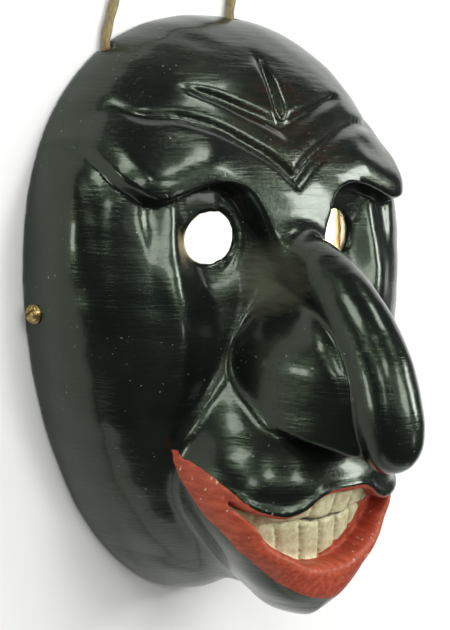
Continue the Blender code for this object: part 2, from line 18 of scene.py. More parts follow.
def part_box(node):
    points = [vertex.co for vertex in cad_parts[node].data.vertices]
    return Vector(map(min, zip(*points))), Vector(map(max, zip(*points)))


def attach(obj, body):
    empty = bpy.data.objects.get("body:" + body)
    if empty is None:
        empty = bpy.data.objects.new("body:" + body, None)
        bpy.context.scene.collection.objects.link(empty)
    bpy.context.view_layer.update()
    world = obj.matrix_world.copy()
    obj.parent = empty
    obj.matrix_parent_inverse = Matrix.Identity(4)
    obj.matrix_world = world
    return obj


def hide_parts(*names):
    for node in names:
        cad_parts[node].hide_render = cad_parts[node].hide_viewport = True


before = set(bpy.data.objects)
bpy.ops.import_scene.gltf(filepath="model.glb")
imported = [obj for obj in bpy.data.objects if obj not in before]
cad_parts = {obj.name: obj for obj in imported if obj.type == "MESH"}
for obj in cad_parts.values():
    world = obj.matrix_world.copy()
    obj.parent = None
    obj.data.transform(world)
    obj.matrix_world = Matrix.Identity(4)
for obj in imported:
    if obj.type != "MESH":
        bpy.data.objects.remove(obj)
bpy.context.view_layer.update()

# The camera: what it looks at, how far off it is, and how it is turned
LOOK_AT = Vector((-0.0343, 0.0051, 0.0497))
CAMERA_AWAY = 0.600
CAMERA_TO_SIDE = math.radians(45)
CAMERA_UP_FACE = math.radians(7.8)
CAMERA_ROLL = math.radians(2.9)
VIEW_ANGLE = math.radians(22.3)

# The lights: bearing from the crown towards the wearer's left, height, width and depth, all in
# degrees as seen from the mask, and brightness. The lacquer mirrors the windows and lamps. It
# doesn't mirror the fill, which lights the floor, the lips and the teeth. Two small lamps in the
# hollow, each with its place, aim, size and brightness, light what the eye holes show.
LIGHTS_AIM = Vector((0, 0, 0.05))
LIGHTS_AWAY = 1.3
STUDIO_LIGHTS = (
    ("ceiling", 12, 71, 34, 22, 0.8),
    ("lamp_overhead", 44, 64, 19, 15, 7.5),
    ("lamp_past_brow", 26, 30, 12, 11, 10.0),
    ("lamp_beyond_crown", -29, 51, 11, 9, 11.0),
    ("lamp_right_of_crown", -60, 41, 9, 11, 8.0),
    ("window_beyond_crown", -37, 18, 19, 12, 8.5),
    ("lamp_on_left", 74, 37, 14, 11, 15.0),
    ("lamp_on_left_high", 105, 55, 7, 7, 6.0),
    ("lamp_on_right_low", -85, 2, 10, 9, 13.0),
    ("white_board_below_chin", 180, 9, 90, 18, 0.8),
)
FILL_LIGHT = ("fill", 20, 65, 70, 70, 1.15)
HOLLOW_LIGHTS = (
    ("lamp_behind_nose", (0.005, 0.025, 0.030), (0.005, 0.025, 0.0), 0.040, 3.5),
    ("lamp_behind_cheek", (0.045, 0.025, 0.014), (0.080, 0.025, 0.014), 0.016, 120.0),
)
COOL_WHITE = (0.88, 0.96, 1.0)
DIM_ROOM = (0.09, 0.095, 0.09, 1)

# The floor: how far it reaches, and how far below the back of the rim it lies
FLOOR_REACH, FLOOR_BELOW = 3.0, 0.0001

# The hanging cord. It leaves by two notches: their room round it, and what height holds them.
# Its route goes from one screw, under the rim, round above the crown and back. It is rolled from
# a strip of hide: the sides of its section, how flat that is, its turns a metre, and its lumps.
CORD_WIDTH = 0.0040
NOTCH_CLEARANCE = 0.0007
NOTCHED_BELOW = 0.008
CORD_ROUTE = (
    (-0.0780, 0.0092, 0.0060),
    (-0.0792, 0.0145, 0.0040),
    (-0.0798, 0.0225, 0.00225),
    (-0.0788, 0.0380, 0.0022),
    (-0.0735, 0.0560, 0.0022),
    (-0.0640, 0.0700, 0.0022),
    (-0.0565, 0.0800, 0.0022),
    (-0.0545, 0.0890, 0.0022),
    (-0.0565, 0.0975, 0.0022),
    (-0.0578, 0.1050, 0.0022),
    (-0.0558, 0.1140, 0.0022),
    (-0.0525, 0.1260, 0.0022),
    (-0.0500, 0.1400, 0.0022),
    (-0.0450, 0.1560, 0.0022),
    (-0.0330, 0.1680, 0.0022),
    (-0.0160, 0.1710, 0.0022),
    (-0.0010, 0.1620, 0.0022),
    (0.0060, 0.1460, 0.0022),
    (0.0080, 0.1300, 0.0022),
    (0.0074, 0.1180, 0.0022),
    (0.0110, 0.1040, 0.0022),
    (0.0240, 0.0950, 0.0022),
    (0.0430, 0.0880, 0.0022),
    (0.0590, 0.0750, 0.0022),
    (0.0710, 0.0590, 0.0022),
    (0.0776, 0.0410, 0.0022),
    (0.0797, 0.0245, 0.00225),
    (0.0792, 0.0145, 0.0040),
    (0.0780, 0.0092, 0.0060),
)
CORD_STEP = 0.0015
HIDE_SIDES, HIDE_SECTION = 14, (0.97, 0.84, 1.0)
HIDE_TURNS, HIDE_LUMPS_HIGH, HIDE_LUMPS_CLOSE = 55.0, 0.00022, 260.0

# The grid that the wood is carved on, the height of the knife's marks, and the rim's rounding
CARVING_STEP = 0.00125
KNIFE_MARKS = 0.00016
RIM_ROUND = 0.0012

# The face is laid out in parts of its height, as it is stepped out along the block.
# Every figure from here to the end of the carving counts those parts, from the face's middle line.
PARTS_HIGH = 237.0
MASK_LOW, MASK_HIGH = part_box("mask")
PART = (MASK_HIGH[1] - MASK_LOW[1]) / PARTS_HIGH
WALL = 9.0
THIN_WALL = 6.5
GOUGE_MARKS = 0.35
EYE_HOLE_WIDTH, EYE_HOLE_HEIGHT = 19.6, 18.4

# The outline: two rounded arches that meet on the widest line
HALF_WIDTH = 92.5
WIDEST_AT = 26.0
CROWN_AT = 118.5
FOOT_AT = -118.5
CROWN_ROUNDNESS = 2.3
JAW_ROUNDNESS = 1.84

# The plain face: its height down the middle line, how it falls away to the sides, its shoulder
FACE_LINE = (
    (-123, 16), (-101, 28), (-81, 37), (-41, 49), (9, 55),
    (42, 54), (75, 43.5), (100, 29), (111, 19.5), (121, 10),
)
FACE_FALL = (
    (-121, 0.0014), (-61, 0.0016), (-10, 0.0017), (22, 0.00165), (42, 0.0014), (52, 0.0014),
    (64, 0.0018), (89, 0.0026), (119, 0.0020),
)
SHOULDER = 26.0
LEAST_SHOULDER = 6.0
SHOULDER_SHARE = 0.9

# The brow: its lower edge, from the middle out, the swelling above it and the step under it
BROW_LINE = (
    (0, 27), (14, 31), (17, 38), (23, 48), (31, 53), (38, 54), (45, 53), (52, 51),
    (64, 47.5), (69, 48), (74, 51), (79, 56), (83, 67),
)
BROW_EDGE = (-2.5, 1.5)
BROW_EDGE_SOFTER, BROW_EDGE_SOFT_TO = 1.6, (14, 36)
BROW_ROLL, BROW_ROLL_ABOVE, BROW_ROLL_WIDTH = 3.0, 9.0, 8.0
BROW_ROLL_FROM, BROW_ROLL_TO = (24, 46), (70, 84)
BROW_DROP, BROW_DROP_FROM, BROW_DROP_LONG = 6.5, 43.0, 30.0
BROW_DROP_INNER, BROW_DROP_OUTER = (54, 68), (84, 96)

# Two furrows over the brow, each a V across the forehead, and one down its middle
LOWER_FURROW = ((0, 56), (10, 63), (20, 68), (32, 73.5), (48, 77.5), (68, 79), (73, 82))
LOWER_FURROW_DEPTH, LOWER_FURROW_WIDTH, LOWER_FURROW_END = 2.4, 2.3, (62, 74)
UPPER_FURROW = ((0, 74.5), (10, 78.5), (20, 82), (30, 85.5), (45, 89))
UPPER_FURROW_DEPTH, UPPER_FURROW_WIDTH, UPPER_FURROW_END = 2.6, 3.4, (34, 47)
UPPER_FURROW_TAPER = 0.045
LONG_FURROW_DEPTH, LONG_FURROW_WIDTH = 2.8, 2.3
LONG_FURROW_FOOT, LONG_FURROW_HEAD = (75, 82), (93, 106)

# The valley between cheek and nose, and the eye socket with its hole
CHEEK_CREST = (
    (-46, 50), (-21, 47), (-6, 47), (9, 51), (20, 56), (31, 61), (45, 65), (55, 66),
)
CHEEK_DEPTH = (
    (-46, 0.5), (-33, 3.0), (-16, 5.5), (4, 7.0), (19, 9.0), (32, 10.0), (44, 9.5), (59, 8.0),
)
CHEEK_SLOPE = (-10, 17)
NOSE_BRIDGE = (2, 24)
EYE_ACROSS, EYE_UP, EYE_OUT = 37.0, 33.0, 42.0
EYE_TURN = math.radians(15)
EYE_FLARE, EYE_FLARE_FROM, EYE_FLARE_LONG = 0.95, 2.0, 12.0
EYE_BOWL, EYE_BOWL_WIDTH = 4.5, 12.5
EYE_RINGS = ((16.5, 0.8, 1.6), (12.3, 0.9, 1.5))
EYE_RINGS_INNER, EYE_RINGS_LOWER = (2, 8), (17, 25)

# The raised mouth and chin: half width up the face, height of its front, and how it leans
MUZZLE_SIDE = (
    (-109, 0), (-99, 13), (-90, 22), (-77, 34), (-64, 44.5), (-51, 50),
    (-39, 48.5), (-23, 42), (-6, 32), (11, 24), (29, 14),
)
MUZZLE_FRONT = (
    (-121, 62), (-113, 73), (-105, 79), (-93, 83), (-61, 86), (-56, 86),
    (-46, 82), (-31, 70), (-13, 58), (9, 54), (29, 50),
)
MUZZLE_FALL = 0.005
MUZZLE_ROUND = 22.0
CHIN_LEAN, CHIN_LEAN_FROM = 0.42, 34.0

# The mouth: the edges of both lips, the bead over the upper one, and two rows of teeth
LIP_EDGE = (
    (0, -60), (8, -60), (14, -61.5), (20, -65), (28, -67.5), (36, -66.5),
    (42, -64), (47, -58), (51, -50),
)
LIP_INNER = (
    (0, -89.5), (8, -88.9), (14, -87.4), (22.5, -83.3), (27, -80.7), (32.4, -76.4),
    (38, -70.4), (46.4, -61.8),
)
MOUTH_END = 45.5
LIP_ROUND = 2.0
LOWER_LIP_SOFTER, LOWER_LIP_FROM = 4.0, (68, 80)
LIP_BEAD, LIP_BEAD_ABOVE, LIP_BEAD_WIDTH = 1.3, 2.0, 2.2
LIP_BEAD_END, LIP_BEAD_LOWEST = (40, 50), (60, 66)
TEETH_OUT, TEETH_AT, TEETH_CURVE, TEETH_LEAN = 78.5, -70.0, 0.0090, 0.34
TEETH_PARTING, PARTING_TILT, PARTING_RAGGED, PARTING_WAVES = -71.2, 0.05, 0.7, (3.1, 7.3)
PARTING_DEPTH, PARTING_WIDTH = 2.6, 1.0
PARTING_STEP, PARTING_STEP_OVER = 1.2, (-1.5, 1.5)
UPPER_TOOTH, UPPER_TOOTH_FROM = 10.5, -1.2
LOWER_TOOTH, LOWER_TOOTH_FROM, LOWER_TOOTH_LEAN = 9.6, -5.0, 0.38
TOOTH_LINE_DEPTH, TOOTH_LINE_WIDTH = 1.3, 0.9
TEETH_END = (30, 42)

# The paint's edges. The red ends at the lips' outer edge, which differs a little on the wearer's
# right and left, behind a line up each side of the muzzle, at the corners, and just over the upper
# lip. The ivory lies on the teeth: how far off their surface it reaches, how far past the lips,
# how far back, and its edge on the left. Round the crack a painted shadow darkens the ivory, less
# towards the corners: how far it reaches, where it starts to fade, and how fast.
LIP_OUTER_RIGHT = (
    (0, -104), (7.6, -102.4), (15.2, -99.6), (23.2, -95.2),
    (31, -89), (37.3, -83), (45, -77), (56, -68),
)
LIP_OUTER_LEFT = (
    (0, -104), (5, -104.6), (13, -104), (22, -99.5),
    (31, -92), (38, -85.5), (45, -79), (56, -69),
)
LIP_SIDE = (
    (-105, 60), (-92, 64), (-82.5, 67), (-78, 66), (-73, 62), (-69.3, 57.3), (-64.7, 52.9),
    (-60.2, 49.4), (-56.3, 45.9), (-50.4, 43.6), (-47.7, 43.3),
)
LIP_CORNER = 53.0
UPPER_LIP_PAINT = ((0, 2.2), (8, 1.8), (14, 1.2), (30, 1.2), (44, 1.6), (51, 2.0))
IVORY_OFF_TEETH, IVORY_PAST_LIPS, IVORY_BACK = 1.0, 0.2, 50.0
IVORY_EDGE_LEFT = (
    (0, -90), (1.4, -88.7), (8.5, -85.5), (15.6, -80.6), (20.2, -76.4), (23, -70.7), (26, -60),
)
CRACK_SHADOW_REACH, CRACK_SHADOW_FADES_FROM, CRACK_SHADOW_FADES = 2.0, 12.0, 0.5

# The nose: balls along its ridge, each across, up, out and radius
NOSE = (
    (0, 22, 62, 12.5), (0, 11, 77.5, 13), (0, -1, 89, 13.3),
    (0, -14, 97, 13.6), (0, -27, 102, 13.5), (0, -37, 105.5, 12),
)
NOSE_HIGH = 122.0
NOSE_ROOT = (12.0, 17.0, 56.0)

# The wing beside the nose: its front up the face, its half width, which tapers outwards, its foot
WING_CREST = (
    (-50, 101), (-39, 101.5), (-27, 100), (-16, 97), (-6, 91.5),
    (4, 83.5), (12, 74.5), (19, 63), (25, 48),
)
WING_WIDTH, WING_BASE = 29.0, 54.0
WING_TAPER, WING_TAPER_LONG, WING_TAPER_POWER = 15.0, 45.0, 2.2
WING_TOP, WING_TOP_NARROWS = -16.0, 0.020
WING_FOOT, WING_FOOT_LEAN = -32.0, 0.255
WING_SIDE_ROUND, WING_FOOT_ROUND = 6.0, 3.0

# How far the join between two forms is rounded
NOSE_BLEND, NOSE_TO_WING, NOSE_TO_FACE = 2.0, 1.2, 3.0
BRIDGE_BLEND_MORE, BRIDGE_BLEND_OVER = 8.0, (2, 20)
MUZZLE_TO_HEAD, MOUTH_EDGE, EYE_EDGE = 5.0, 1.6, 1.5
HOLLOW_BLEND, HOLLOW_EDGE, MUZZLE_WALL_MORE = 10.0, 6.0, 2.0

# The colours, as the share of red, green and blue light that each throws back
LACQUER, LACQUER_PATCH = (0.0030, 0.0042, 0.0036), (0.0060, 0.0075, 0.0055)
LACQUER_BROWNED, LACQUER_WORN = (0.018, 0.007, 0.004), (0.060, 0.058, 0.040)
PALE_FLECK = (0.30, 0.29, 0.25)
RED, RED_FADED, RED_CHIPPED = (0.27, 0.034, 0.018), (0.42, 0.072, 0.038), (0.62, 0.50, 0.36)
IVORY_DULL, IVORY_PALE, IVORY_STAINED = (0.47, 0.43, 0.25), (0.62, 0.59, 0.38), (0.36, 0.27, 0.15)
# Dark brown between the teeth, and the painted shadow in the crack between the two rows
BETWEEN_TEETH, CRACK_SHADOW_PAINT = (0.24, 0.18, 0.09), (0.10, 0.075, 0.045)
WOOD, WOOD_PALE, WOOD_STAINED = (0.25, 0.16, 0.085), (0.42, 0.31, 0.18), (0.12, 0.075, 0.04)
BRASS, BRASS_TARNISHED = (0.50, 0.38, 0.15), (0.19, 0.125, 0.055)
HIDE, HIDE_PALE, HIDE_STAINED = (0.145, 0.10, 0.038), (0.28, 0.225, 0.09), (0.13, 0.075, 0.03)
FLOOR, FLOOR_CLOUD = (0.80, 0.80, 0.79), (0.84, 0.84, 0.83)


def smooth_max(a, b, reach):
    """The greater of two fields, with the edge between them rounded over reach."""
    share = np.clip(reach - np.abs(a - b), 0, None) / reach
    return np.maximum(a, b) + share * share * reach / 4


def smooth_min(a, b, reach):
    return -smooth_max(-a, -b, reach)


def ease(value, span):
    """From 0 at the span's start to 1 at its end, level at both."""
    share = np.clip((value - span[0]) / (span[1] - span[0]), 0, 1)
    return share * share * (3 - 2 * share)


def ridge(value, width):
    """A rounded ridge of height 1, about twice as wide as width."""
    return np.exp(-((value / width) ** 2))


def along(points):
    """The smooth curve through a few points, as a function that also gives its slope."""
    places, values = np.array(points, float).T
    steps = np.diff(places)
    rises = np.diff(values) / steps
    between = (rises[:-1] * steps[1:] + rises[1:] * steps[:-1]) / (steps[:-1] + steps[1:])
    leans = np.concatenate([rises[:1], between, rises[-1:]])

    def curve(at):
        at = np.clip(at, places[0], places[-1])
        first = np.clip(np.searchsorted(places, at, side="right") - 1, 0, len(steps) - 1)
        share = (at - places[first]) / steps[first]
        start, end = values[first], values[first + 1]
        leave, arrive = leans[first] * steps[first], leans[first + 1] * steps[first]
        bend = 2 * start - 2 * end + leave + arrive
        turn = 3 * end - 3 * start - 2 * leave - arrive
        value = ((bend * share + turn) * share + leave) * share + start
        slope = ((3 * bend * share + 2 * turn) * share + leave) / steps[first]
        return value, slope

    return curve


face_line = along(FACE_LINE)
face_fall = along(FACE_FALL)
brow_line = along(BROW_LINE)
lower_furrow = along(LOWER_FURROW)
upper_furrow = along(UPPER_FURROW)
cheek_crest = along(CHEEK_CREST)
cheek_depth = along(CHEEK_DEPTH)
muzzle_side = along(MUZZLE_SIDE)
muzzle_front = along(MUZZLE_FRONT)
lip_edge = along(LIP_EDGE)
lip_inner = along(LIP_INNER)
lip_outer_right = along(LIP_OUTER_RIGHT)
lip_outer_left = along(LIP_OUTER_LEFT)
lip_side = along(LIP_SIDE)
ivory_edge_left = along(IVORY_EDGE_LEFT)
upper_lip_paint = along(UPPER_LIP_PAINT)
wing_crest = along(WING_CREST)


def outline(x, y):
    """Distance to the mask's outline: one rounded arch above the widest line, one below."""
    above = y > WIDEST_AT
    reach = np.where(above, CROWN_AT - WIDEST_AT, WIDEST_AT - FOOT_AT)
    power = np.where(above, CROWN_ROUNDNESS, JAW_ROUNDNESS)
    u, v = x / HALF_WIDTH, np.abs(y - WIDEST_AT) / reach
    ring = (u**power + v**power) ** (1 / power) + 1e-6
    steep = np.sqrt((u ** (power - 1) / HALF_WIDTH) ** 2 + (v ** (power - 1) / reach) ** 2)
    return (ring - 1) / (steep * ring ** (1 - power))


def face_height(x, y):
    """Height of the plain face before it is carved, and how much its slope stretches distance."""
    line, slope = face_line(y)
    fall, _ = face_fall(y)
    return line - fall * x * x, np.sqrt(1 + (2 * fall * x) ** 2 + slope**2)


def shoulder(height):
    """How far the edge between the face and its side wall is rounded."""
    return np.clip(height * SHOULDER_SHARE, LEAST_SHOULDER, SHOULDER)


def across(curve, x, y):
    """Distance in the face's plane to a line drawn over it, above nought where y is past it."""
    line, slope = curve(x)
    return (y - line) / np.sqrt(1 + slope**2)


def furrows(x, y):
    """Depth of the two V furrows over the brow and of the long furrow down the forehead."""
    lower = LOWER_FURROW_DEPTH * ridge(across(lower_furrow, x, y), LOWER_FURROW_WIDTH)
    upper_width = UPPER_FURROW_WIDTH - x * UPPER_FURROW_TAPER
    upper = UPPER_FURROW_DEPTH * ridge(across(upper_furrow, x, y), upper_width)
    long = LONG_FURROW_DEPTH * ridge(x, LONG_FURROW_WIDTH)
    lower = lower * (1 - ease(x, LOWER_FURROW_END))
    upper = upper * (1 - ease(x, UPPER_FURROW_END))
    long = long * ease(y, LONG_FURROW_FOOT) * (1 - ease(y, LONG_FURROW_HEAD))
    return lower + upper + long


def sockets(x, y):
    """Depth of the eye sockets and of the valleys beside the nose, under the brow's edge."""
    soft = 1 + BROW_EDGE_SOFTER * (1 - ease(x, BROW_EDGE_SOFT_TO))
    under = 1 - ease((y - brow_line(x)[0]) / soft, BROW_EDGE)
    drop = BROW_DROP * ridge(np.clip(BROW_DROP_FROM - y, 0, None), BROW_DROP_LONG)
    drop = drop * ease(x, BROW_DROP_INNER) * (1 - ease(x, BROW_DROP_OUTER))
    valley = cheek_depth(y)[0] * ease(cheek_crest(y)[0] - x, CHEEK_SLOPE) * ease(x, NOSE_BRIDGE)
    from_eye = np.hypot(x - EYE_ACROSS, y - EYE_UP)
    bowl = EYE_BOWL * ridge(from_eye, EYE_BOWL_WIDTH)
    rings = sum(depth * ridge(from_eye - radius, width) for radius, depth, width in EYE_RINGS)
    rings = rings * ease(EYE_ACROSS - x, EYE_RINGS_INNER) * ease(y, EYE_RINGS_LOWER)
    return under * (drop + valley + bowl + rings)


def brow_roll(x, y):
    """Height of the swelling along the brow."""
    from_middle = y - brow_line(x)[0] - BROW_ROLL_ABOVE
    roll = BROW_ROLL * ridge(from_middle, BROW_ROLL_WIDTH)
    return roll * ease(x, BROW_ROLL_FROM) * (1 - ease(x, BROW_ROLL_TO))


def head(x, y, z):
    """The head with its brow, furrows and sockets."""
    height, lean = face_height(x, y)
    height_here = height + brow_roll(x, y) - furrows(x, y) - sockets(x, y)
    return smooth_max(outline(x, y), (z - height_here) / lean, shoulder(height))


def muzzle(x, y, z):
    """The raised mouth and chin. Its lower wall leans out, so that the chin juts past the jaw."""
    level = y + CHIN_LEAN * np.clip(z - CHIN_LEAN_FROM, 0, None)
    side, slant = muzzle_side(level)
    wall = (x - side) / np.sqrt(1 + slant**2) + np.clip(MUZZLE_SIDE[0][0] - level, 0, None)
    top, tilt = muzzle_front(y)
    fall = MUZZLE_FALL * x
    front = (z - top + fall * x) / np.sqrt(1 + 4 * fall**2 + tilt**2)
    block = smooth_max(wall, front, MUZZLE_ROUND)
    return np.maximum(block, np.maximum(y - MUZZLE_SIDE[-1][0], FOOT_AT - y))


def above_parting(x, y):
    """How far up from the crack between the two rows of teeth. The crack wanders a little."""
    short, long = PARTING_WAVES
    wander = PARTING_RAGGED * np.sin(x / short) * np.sin(x / long)
    return y - TEETH_PARTING - PARTING_TILT * x + wander


def beside_tooth_line(x, y):
    """How far to the side of the nearest line between two teeth. The lower teeth lean."""
    from_parting = above_parting(x, y)
    upper = from_parting > 0
    width = np.where(upper, UPPER_TOOTH, LOWER_TOOTH)
    first = np.where(upper, UPPER_TOOTH_FROM, LOWER_TOOTH_FROM - LOWER_TOOTH_LEAN * from_parting)
    count = (x - first) / width
    return (count - np.round(count)) * width


def teeth(x, y):
    """Height of the two rows of teeth, which differ on the left and right of the mouth."""
    deep = TEETH_OUT - TEETH_CURVE * x * x + TEETH_LEAN * (y - TEETH_AT)
    from_parting = above_parting(x, y)
    line = TOOTH_LINE_DEPTH * ridge(beside_tooth_line(x, y), TOOTH_LINE_WIDTH)
    crack = PARTING_DEPTH * ridge(from_parting, PARTING_WIDTH)
    step = PARTING_STEP * ease(from_parting, PARTING_STEP_OVER)
    return deep + (step - crack - line) * (1 - ease(np.abs(x), TEETH_END))


def mouth_opening(x, y):
    """Distance in the face's plane to the edge of the opening between the lips."""
    opening = smooth_max(across(lip_edge, x, y), -across(lip_inner, x, y), LIP_ROUND)
    return smooth_max(opening, x - MOUTH_END, LIP_ROUND)


def mouth(x, y, z):
    """The opening between the lips, down to the teeth."""
    flattened = np.sqrt(1 + TEETH_LEAN**2)
    return smooth_max(mouth_opening(np.abs(x), y), (teeth(x, y) - z) / flattened, MOUTH_EDGE)


def lip_bead(x, y, z):
    """Height of the rolled edge over the upper lip."""
    bead = LIP_BEAD * ridge(y - lip_edge(x)[0] - LIP_BEAD_ABOVE, LIP_BEAD_WIDTH)
    return bead * (1 - ease(x, LIP_BEAD_END)) * ease(z, LIP_BEAD_LOWEST)


def from_stretch(place, start, end):
    """Distance to a straight stretch, and where beside it: from 0 at its start to 1 at its end."""
    run = end - start
    share = np.clip((place - start) @ run / (run @ run), 0, 1)
    return np.linalg.norm(place - start - share[..., None] * run, axis=-1), share


def strung(balls, x, y, z, blend, parts=3):
    """A smooth round body along a few balls: a close chain of cones on the curves through them."""
    order = np.arange(len(balls))
    finer = np.linspace(0, len(balls) - 1, parts * (len(balls) - 1) + 1)
    *centres, sizes = (along(list(zip(order, column)))(finer)[0] for column in zip(*balls))
    centres = np.stack(centres, axis=-1)
    place = np.stack([x, y, z], axis=-1)
    body = None
    for start, end, first, last in zip(centres, centres[1:], sizes, sizes[1:]):
        gap, share = from_stretch(place, start, end)
        piece = gap - first - (last - first) * share
        body = piece if body is None else smooth_min(body, piece, blend)
    return body


def wing(x, y, z):
    """The broad wing beside the nose, which ends at a crest in front and at an edge below."""
    from_base = np.clip(z - WING_BASE, 0, None) / WING_TAPER_LONG
    from_top = np.clip(y - WING_TOP, 0, None)
    width = WING_WIDTH - WING_TAPER * from_base**WING_TAPER_POWER - WING_TOP_NARROWS * from_top**2
    lean_out = WING_TAPER * WING_TAPER_POWER * from_base ** (WING_TAPER_POWER - 1) / WING_TAPER_LONG
    side = (x - width) / np.sqrt(1 + lean_out**2 + (2 * WING_TOP_NARROWS * from_top) ** 2)
    crest, slope = wing_crest(y)
    front = (z - crest) / np.sqrt(1 + slope**2)
    foot = (WING_FOOT - WING_FOOT_LEAN * (z - WING_BASE) - y) / math.hypot(1, WING_FOOT_LEAN)
    return smooth_max(smooth_max(side, front, WING_SIDE_ROUND), foot, WING_FOOT_ROUND)


def nose(x, y, z):
    return smooth_min(strung(NOSE, x, y, z, NOSE_BLEND), wing(x, y, z), NOSE_TO_WING)


def eye_hole(x, y, z):
    """The hole to see through, turned a little outwards and flared towards the back."""
    from_side = (x - EYE_ACROSS) * math.cos(EYE_TURN) - (z - EYE_OUT) * math.sin(EYE_TURN)
    depth = (EYE_ACROSS - x) * math.sin(EYE_TURN) + (EYE_OUT - z) * math.cos(EYE_TURN)
    flare = EYE_FLARE * np.clip(depth - EYE_FLARE_FROM, 0, EYE_FLARE_LONG)
    from_middle = np.hypot(from_side, (y - EYE_UP) * EYE_HOLE_WIDTH / EYE_HOLE_HEIGHT)
    return (from_middle - EYE_HOLE_WIDTH / 2 - flare) / math.hypot(1, EYE_FLARE)


def hollow(x, y, z, outside):
    """The hollow behind the face, a wall's thickness inside the plain head and muzzle."""
    height, _ = face_height(x, y)
    room = smooth_max(outline(x, y), z - height, shoulder(height)) + WALL
    room = smooth_min(room, muzzle(x, y, z) + WALL + MUZZLE_WALL_MORE, HOLLOW_BLEND)
    return smooth_max(room, outside + THIN_WALL, HOLLOW_EDGE)


def face_side(x, y, z):
    """The outer surface of the mask, from crown to chin, with its nose and mouth."""
    side = np.abs(x)
    outside = smooth_min(head(side, y, z), muzzle(side, y, z), MUZZLE_TO_HEAD)
    lip_round = MOUTH_EDGE + LOWER_LIP_SOFTER * ease(-y, LOWER_LIP_FROM)
    outside = smooth_max(outside - lip_bead(side, y, z), -mouth(x, y, z), lip_round)
    nose_blend = NOSE_TO_FACE + BRIDGE_BLEND_MORE * ease(y, BRIDGE_BLEND_OVER)
    return smooth_min(outside, nose(side, y, z), nose_blend)


def knife_marks(x, y, z, seed, longest, shortest, waves=14):
    """The unevenness that a knife leaves: slow waves that cross each other, from -1 to 1."""
    chance = np.random.default_rng(seed)
    marks = 0.0
    for _ in range(waves):
        direction = chance.normal(size=3)
        direction *= 2 * math.pi / (np.linalg.norm(direction) * chance.uniform(shortest, longest))
        start = chance.uniform(0, 7)
        marks = marks + np.sin(x * direction[0] + y * direction[1] + z * direction[2] + start)
    return marks * math.sqrt(2 / waves) / 2


def cord_way(x, y, z):
    """Distance to the way that the cord takes through the back of the rim."""
    place = np.stack([x, y, z], axis=-1)
    nearest = np.full(x.shape, np.inf)
    route = np.array(CORD_ROUTE) / PART
    for start, end in zip(route, route[1:]):
        nearest = np.minimum(nearest, from_stretch(place, start, end)[0])
    return nearest - (CORD_WIDTH / 2 + NOTCH_CLEARANCE) / PART


def gouge_marks(x, y, z):
    """Depth of the scallops that the gouge leaves in the hollow."""
    return GOUGE_MARKS * knife_marks(x, y, z, seed=8, longest=16, shortest=8)


def wood(x, y, z):
    """The whole mask with its knife marks and its flat back, as a field in parts of the face."""
    side = np.abs(x)
    outside = face_side(x, y, z)
    inside = hollow(side, y, z, outside)
    shell = np.maximum(outside, -inside - gouge_marks(x, y, z))
    shell = smooth_max(shell, -eye_hole(side, y, z), EYE_EDGE)
    shell = shell + KNIFE_MARKS / PART * knife_marks(x, y, z, seed=3, longest=34, shortest=9)
    shell = smooth_max(shell, -z, RIM_ROUND / PART)
    low = z < NOTCHED_BELOW / PART
    shell[low] = np.maximum(shell[low], -cord_way(x[low], y[low], z[low]))
    return shell


def slopes(field, place, reach=0.05):
    """The field and its slope at many places."""
    here = field(*place.T)
    slope = np.empty_like(place)
    for axis in range(3):
        step = np.zeros(3)
        step[axis] = reach
        slope[:, axis] = (field(*(place + step).T) - field(*(place - step).T)) / (2 * reach)
    return here, slope


def carve():
    """Points and quads of the carved surface: found on a grid, then drawn onto it twice."""
    grid = CARVING_STEP / PART
    margin = 4 * grid
    half_count = math.ceil((HALF_WIDTH + margin) / grid)
    side = (np.arange(-half_count, half_count) + 0.5) * grid
    up = np.arange(FOOT_AT - margin, CROWN_AT + margin, grid)
    out = np.arange(-3.5 * grid, NOSE_HIGH, grid)
    y, z = np.meshgrid(up, out, indexing="ij")
    field = np.empty((len(side), len(up), len(out)), np.float32)
    for row, x in enumerate(side):
        field[row] = wood(np.full(y.shape, x), y, z)
    volume = openvdb.FloatGrid()
    volume.background = 3.0
    volume.copyFromArray(np.clip(field / grid, -volume.background, volume.background))
    points, quads = volume.convertToQuads(0.0)
    points = points * grid + [side[0], up[0], out[0]]
    for _ in range(2):
        here, slope = slopes(wood, points)
        move = here[:, None] * slope / np.sum(slope * slope, axis=1, keepdims=True).clip(0.2)
        points = points - np.clip(move, -grid / 2, grid / 2)
    points[:, 2] = points[:, 2].clip(0)
    return points, quads


def paint_regions(points):
    """What the paint follows, in parts. Lips, ivory and bare are above nought on their coat."""
    x, y, z = points.T
    side = np.abs(x)
    on_left = x > 0
    outer = np.where(on_left, across(lip_outer_left, side, y), across(lip_outer_right, side, y))
    upper = upper_lip_paint(side)[0] - across(lip_edge, side, y)
    on_teeth = IVORY_OFF_TEETH - np.abs(z - teeth(x, y))
    in_mouth = IVORY_PAST_LIPS - mouth_opening(side, y)
    ivory = np.minimum.reduce([in_mouth, on_teeth, z - IVORY_BACK])
    to_corner = np.clip(side - CRACK_SHADOW_FADES_FROM, 0, None)
    return {
        "lips": np.minimum.reduce([outer, upper, z - lip_side(y)[0], LIP_CORNER - side]),
        "ivory": np.where(on_left, np.minimum(ivory, across(ivory_edge_left, side, y)), ivory),
        "bare": -face_side(x, y, z),
        # Above nought near the crack between the rows of teeth, where a shadow is painted on the
        # ivory
        "crack": CRACK_SHADOW_REACH - np.hypot(above_parting(x, y), to_corner * CRACK_SHADOW_FADES),
        "tooth_line": np.abs(beside_tooth_line(x, y)),
        "from_root": np.linalg.norm(np.stack([side, y, z], axis=-1) - NOSE_ROOT, axis=-1),
    }


def add_object(name, mesh):
    thing = bpy.data.objects.new(name, mesh)
    bpy.context.scene.collection.objects.link(thing)
    return thing


